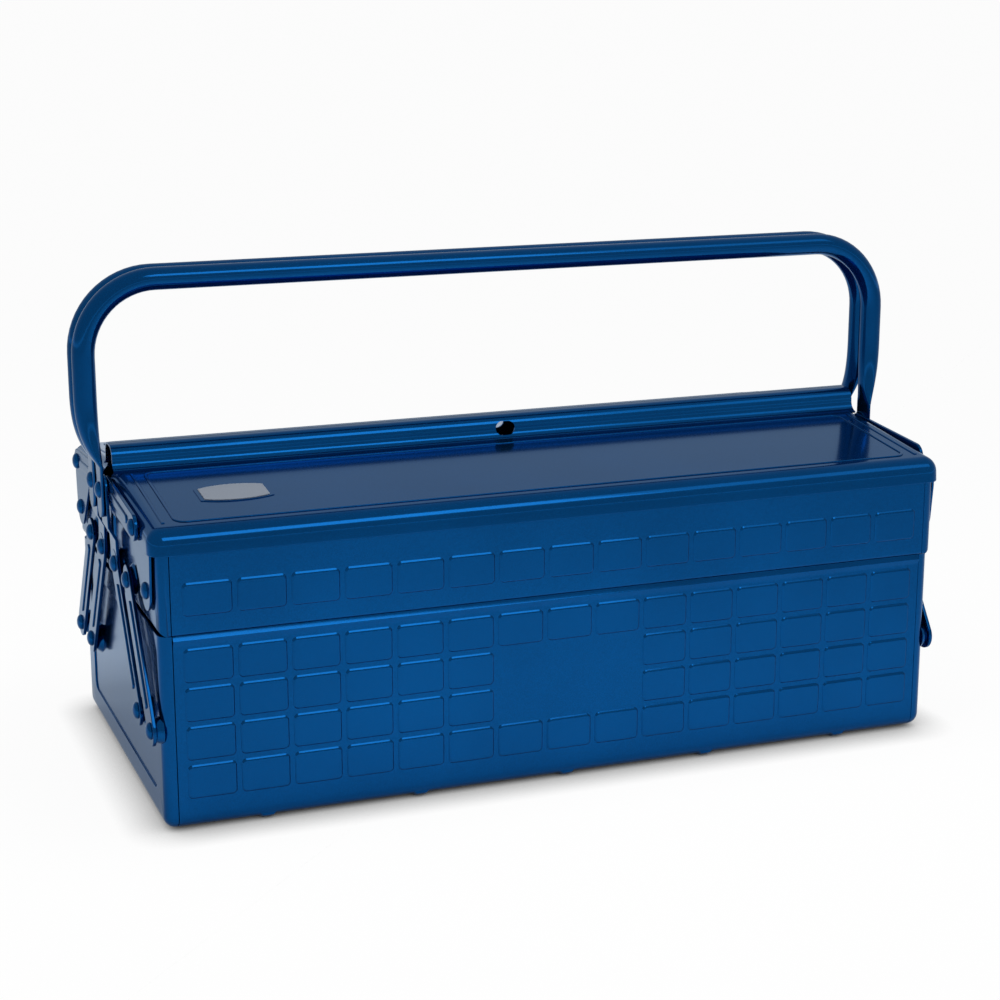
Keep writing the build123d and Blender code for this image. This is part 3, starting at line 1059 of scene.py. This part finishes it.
def round_bar(name, start, end, radius, x0, x1, rim):
    """Flat bar with round ends between two points (y, z)."""
    discs = [add_disc("disc", x0, x1, point, radius, None, 48) for point in (start, end)]
    return wrap(discs, name, rim)


def beaded_bar(name, start, end, radius, x0, x1):
    """Round-ended bar with a bead along the middle of its outer face."""
    along = (end - start).normalized() * bead_stop
    bar = round_bar(name, start, end, radius, x0, x1, bar_edge)
    foot, crest = x1 - bead_sink, x1 + bead_rise
    bead = round_bar("bead", start + along, end - along, bead_radius, foot, crest, bead_edge)
    return smooth(join([bar, bead], name))


# %% Outer links and straps
outer_link = beaded_bar(
    "front_outer_bar_right", foot_outer, top_outer, link_radius, link_in, link_out
)
keep_four(outer_link, "outer_bar", "outer_links", "linkage_paint", "outer_link")
strap_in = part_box("front_lid_strap_right")[0].x
strap_out = strap_in + bar_thick
strap = beaded_bar(
    "front_strap_bar_right", handle_pin, strap_pin, strap_radius, strap_in, strap_out
)
keep_four(strap, "strap_bar", "lid_straps", "linkage_paint", "lid_strap")
print("links and straps", len(outer_link.data.polygons), len(strap.data.polygons), "faces")

# %% Cranked inner links
tab_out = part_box("front_inner_link_right")[1].x
tab_thick, crank_start, crank_end = 1.8 * MM, 15 * MM, 22 * MM
crank_low, crank_high = top_inner.y + crank_start, top_inner.y + crank_end
inner_link = beaded_bar(
    "front_inner_bar_right", foot_inner, top_inner, link_radius, link_in, link_out
)
tab_face = link_in + tab_thick
tab = round_bar("tab", top_inner, handle_pin, link_radius, link_in, tab_face, bar_edge)
edit(tab)
cut_lines([crank_low, crank_high], 2)
pick("VERT", lambda corner: corner.co.z > crank_high - hair / 10)
bpy.ops.transform.translate(value=(tab_out - tab_thick - link_in, 0, 0))
all_clear()
inner_link = smooth(join([inner_link, smooth(tab)], "front_inner_bar_right"))
keep_four(inner_link, "inner_bar", "swing", "linkage_paint", "inner_link")
print("inner link", len(inner_link.data.polygons), "faces")

# %% Lid ears
ear_low, ear_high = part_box("front_lid_ear_right")
ear_radius, ear_drop, ear_edge = 11 * MM, 4 * MM, 0.3 * MM
ear_disc = add_disc("disc", ear_low.x, ear_high.x, lid_pivot, ear_radius, None, 48)
ear_plate = add_box("plate", (ear_low.x, ear_low.y, lid_low.z - ear_drop), ear_high)
ear = smooth(wrap([ear_disc, ear_plate], "front_ear_plate_right", ear_edge))
keep_four(ear, "ear_plate", "lid", "linkage_paint", "lid_ear")
print("ear", len(ear.data.polygons), "faces")

# %% [markdown]
# Each handle is one steel tube, bent at both corners and squeezed flat where it is riveted to the
# inner links. Half of it is drawn out of a circle: extruded, spun round the bend, and then
# stepped down with a little scaling at every step. A mirror gives the other half.

# %% Handles
tube = 6.5 * MM
bend = 42 * MM
handle_low, handle_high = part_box("front_handle")
leg_x = handle_high.x - tube
bar_z = handle_high.z - tube
bar_y = handle_high.y - tube
all_clear()
bpy.ops.mesh.primitive_circle_add(
    vertices=40, radius=tube, location=(0, bar_y, bar_z), rotation=(0, math.pi / 2, 0)
)
handle = settle(bpy.context.object)
handle.name = "front_handle_tube"
edit(handle)
extrude(x=leg_x - bend)
turn_over(90, (leg_x - bend, bar_y, bar_z - bend), (0, 1, 0), 16)
print("handle", round(2 * handle_high.x / MM, 1), "mm wide, bend", round(bend / MM), "mm")

# %% Flattened handle ends
flat_thick, flat_half, flat_rise = 2.0 * MM, 8 * MM, 14 * MM
flat_x = tab_out + flat_thick / 2
tube_end, flat_top = 226 * MM, handle_pin.y + flat_rise
squeeze_steps, squeeze_power, squeeze_depth = 14, 2.7, 0.8 * flat_thick
round_steps, last_turn = 6, math.radians(84)
here = Vector((leg_x, bar_y, bar_z - bend))
girth = Vector((tube, tube))


def draw_out(place, size):
    """Extrude the open end to a new middle point and scale it to a new half width and depth."""
    global here, girth
    step = place - here
    extrude(*step)
    bpy.ops.transform.resize(
        value=(size[0] / girth[0], size[1] / girth[1], 1), center_override=place
    )
    here, girth = place, Vector(size)


draw_out(Vector((leg_x, bar_y, tube_end)), (tube, tube))
for step in range(1, squeeze_steps + 1):
    share = step / squeeze_steps
    ease = share**squeeze_power
    place = Vector((
        leg_x + (flat_x - leg_x) * ease,
        bar_y + (handle_pin.x - bar_y) * ease,
        tube_end + (flat_top - tube_end) * share,
    ))
    draw_out(place, (tube + (squeeze_depth - tube) * ease, tube + (flat_half - tube) * ease))
round_z = handle_low.z + flat_half
for step in range(round_steps + 1):
    angle = step / round_steps * last_turn
    place = Vector((flat_x, handle_pin.x, round_z - flat_half * math.sin(angle)))
    draw_out(place, (squeeze_depth, flat_half * math.cos(angle)))
bpy.ops.mesh.edge_face_add()
for side in (-1, 1):
    face_x = flat_x + side * flat_thick / 2
    pick("VERT", lambda v: v.co.z < flat_top + hair and (v.co.x - face_x) * side > 0)
    bpy.ops.transform.resize(value=(0, 1, 1), center_override=(face_x, 0, 0))
all_clear()
other_half = handle.modifiers.new("other_half", "MIRROR")
other_half.merge_threshold = 0.05 * MM
hold(handle)
bpy.ops.object.modifier_apply(modifier="other_half")
edit(handle)
bpy.ops.mesh.normals_make_consistent(inside=False)
all_clear()
smooth(outward(handle), 40)
keep(handle, "front_swing", "linkage_paint", "front_handle")
back_handle = mirrored(handle, "back_handle_tube", 1)
keep(back_handle, "back_swing", "linkage_paint", "back_handle")
print("handle", len(handle.data.polygons), "faces")

# %% [markdown]
# All pivots are button-head rivets. One is made from a flattened ball that is cut in half, with a
# shank drawn out of its flat side, and it is copied to every pivot.

# %% One rivet
head_radius, head_height = 4.8 * MM, 2.5 * MM
shank_radius, shank_length = 2.5 * MM, 4 * MM
all_clear()
bpy.ops.mesh.primitive_uv_sphere_add(
    segments=28, ring_count=16, radius=head_radius, rotation=(0, math.pi / 2, 0)
)
rivet = bpy.context.object
rivet.name = "rivet"
settle(rivet)
rivet.scale = (head_height / head_radius, 1, 1)
settle(rivet)
edit(rivet)
bpy.ops.mesh.bisect(plane_co=(0, 0, 0), plane_no=(1, 0, 0), clear_inner=True, use_fill=True)
pick_faces(lambda point, normal: normal.x < -0.9)
bpy.ops.mesh.inset(thickness=head_radius - shank_radius)
extrude(x=-shank_length)
all_clear()
smooth(outward(rivet), 50)
print("rivet", len(rivet.data.polygons), "faces")

# %% Rivets at every pivot


def rivet_at(x_head, point):
    """Copy of the rivet with its head seated on a face at the right end."""
    hold(rivet)
    bpy.ops.object.duplicate()
    copy = bpy.context.object
    copy.location = (x_head, *point)
    return settle(copy)


def rivet_group(name, places):
    """Rivets of one body at the right end and at the left end."""
    right = [rivet_at(x_head, point) for x_head, point in places]
    left = [mirrored(one, "rivet_left", 0) for one in right]
    return join(right + left, name)


pivot_head = link_out + running_gap
base_points = [foot_outer, foot_inner, flipped(foot_outer), flipped(foot_inner)]
base_rivets = rivet_group("base_rivet_heads", [(pivot_head, point) for point in base_points])
keep(base_rivets, "base", "rivet_paint", "base_pivot_rivets")
ear_head, strap_head = ear_high.x + running_gap, strap_out + running_gap
groups = {
    "tray": [(pivot_head, top_outer), (pivot_head, top_inner), (ear_head, lid_pivot)],
    "swing": [(flat_x + flat_thick / 2, handle_pin)],
    "lid": [(strap_head, strap_pin)],
}
rivet_nodes = {"tray": "tray_rivets", "swing": "handle_rivets", "lid": "lid_rivets"}
for body, places in groups.items():
    group = rivet_group("front_" + body + "_rivet_heads", places)
    keep(group, "front_" + body, "rivet_paint", "front_" + rivet_nodes[body])
    group = mirrored(group, "back_" + body + "_rivet_heads", 1)
    keep(group, "back_" + body, "rivet_paint", "back_" + rivet_nodes[body])
hold(rivet)
bpy.ops.object.delete()
print("pieces", len(finished))
